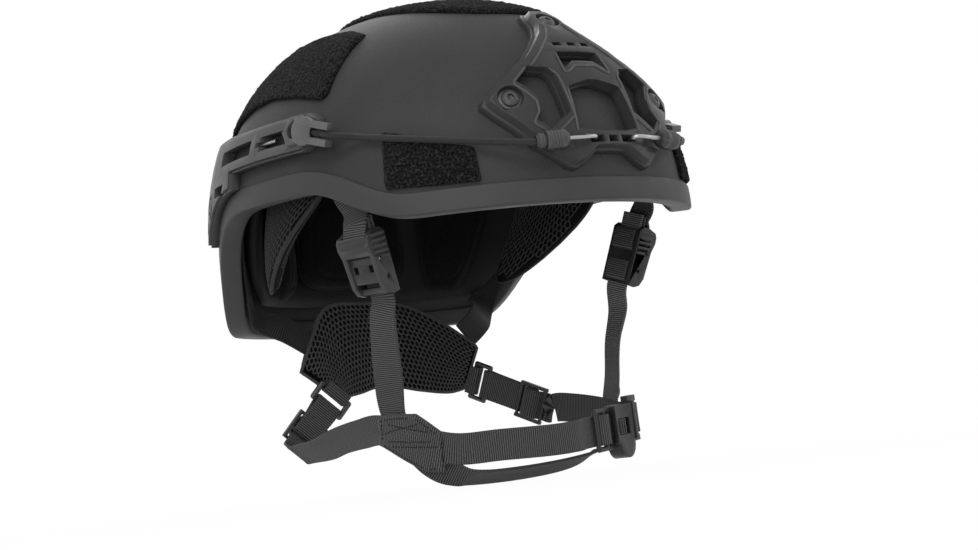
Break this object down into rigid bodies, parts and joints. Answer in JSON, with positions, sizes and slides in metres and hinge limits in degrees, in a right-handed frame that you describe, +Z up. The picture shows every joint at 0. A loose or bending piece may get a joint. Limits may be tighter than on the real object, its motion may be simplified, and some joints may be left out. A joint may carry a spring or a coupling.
{
  "type": "combat helmet",
  "caption": "high-cut combat helmet with a skeletal front shroud, side rails, bungees, loop patches, padded foam liner, nape pad and a webbing chin harness with cam adjusters",
  "frame": {"origin": "centre of the head opening, on the mid plane, at the height of the front edge's middle line", "axes": "+Z up as worn, -Y the way the wearer faces, +X the wearer's left"},
  "size_m": [0.2468, 0.2883, 0.264],
  "materials": {
    "shell_coat": "matt textured paint over a laminated composite shell",
    "trim_rubber": "satin rubber extrusion",
    "foam": "smooth black closed cell foam",
    "loop": "fuzzy loop pile",
    "mesh": "open knitted spacer mesh",
    "webbing": "ribbed woven nylon webbing",
    "cord": "braided elastic cord",
    "frame_plastic": "fine matt moulded nylon",
    "gloss_fork": "polished moulded nylon",
    "black_metal": "black oxide steel",
    "steel": "satin bare steel",
    "grip_rubber": "moulded ribbed rubber",
    "buckle_plastic": "satin moulded acetal"
  },
  "bodies": {
    "helmet": {"shell": "shell_coat", "edge_trim": "trim_rubber", "shell_discs": "loop", "impact_liner": "foam", "front_pad": "mesh", "crown_pad": "mesh", "side_pads": "mesh", "rear_pads": "mesh", "crown_patch": "loop", "temple_patches": "loop", "rear_patches": "loop", "front_shroud": "frame_plastic", "shroud_screws": "black_metal", "shroud_washers": "black_metal", "shroud_nuts": "black_metal", "rail_right": "frame_plastic", "rail_left": "frame_plastic", "rail_screws": "black_metal", "rail_nuts": "black_metal", "strap_anchors": "black_metal", "rail_forks": "gloss_fork", "rail_rods": "steel", "bungee_right": "cord", "bungee_left": "cord", "upper_strap_right": "webbing", "upper_strap_left": "webbing", "adjuster_right": "buckle_plastic", "adjuster_left": "buckle_plastic", "cam_pins": "steel", "lower_strap_right": "webbing", "lower_strap_left": "webbing", "chin_strap": "webbing", "chin_strap_end": "webbing", "chin_slide": "buckle_plastic", "slotted_ring": "black_metal", "nape_pad": "mesh", "nape_tabs": "webbing", "wire_ring": "steel", "nape_strap": "webbing", "tri_glide": "buckle_plastic", "rear_straps": "webbing", "buckle_body": "buckle_plastic"},
    "cam_plate_right": {"cam_right": "buckle_plastic"},
    "cam_plate_left": {"cam_left": "buckle_plastic"},
    "pull_right": {"grip_right": "grip_rubber", "hook_right": "steel"},
    "pull_left": {"grip_left": "grip_rubber", "hook_left": "steel"},
    "ladder": {"buckle_ladder": "buckle_plastic"},
    "lock": {"buckle_lock": "buckle_plastic"}
  },
  "joints": [
    {"name": "cam_right_lift", "type": "hinge", "parent": "helmet", "child": "cam_plate_right", "pos_m": [-0.0959, -0.05572, -0.01712], "axis": [-0.1771, 0.984, 0.017], "range_deg": [0, 60]},
    {"name": "cam_left_lift", "type": "hinge", "parent": "helmet", "child": "cam_plate_left", "pos_m": [0.09766, -0.03557, -0.01607], "axis": [0, -0.9584, -0.2855], "range_deg": [0, 60]},
    {"name": "pull_right_slide", "type": "slide", "parent": "helmet", "child": "pull_right", "axis": [0.9854, -0.1701, 0], "range_m": [0, 0.0045], "stiffness_N_per_m": 600, "springref_m": -0.002, "deforming": ["bungee_right"]},
    {"name": "pull_left_slide", "type": "slide", "parent": "helmet", "child": "pull_left", "axis": [-0.9854, -0.1701, 0], "range_m": [0, 0.0045], "stiffness_N_per_m": 600, "springref_m": -0.002, "deforming": ["bungee_left"]},
    {"name": "chin_latch", "type": "slide", "parent": "helmet", "child": "ladder", "axis": [-0.9309, -0.3603, -0.0601], "range_m": [0, 0.014], "deforming": ["chin_strap_end"]},
    {"name": "lock_slide", "type": "slide", "parent": "helmet", "child": "lock", "axis": [0.9309, 0.3603, 0.0601], "range_m": [0, 0.003], "stiffness_N_per_m": 300, "springref_m": -0.001}
  ]
}
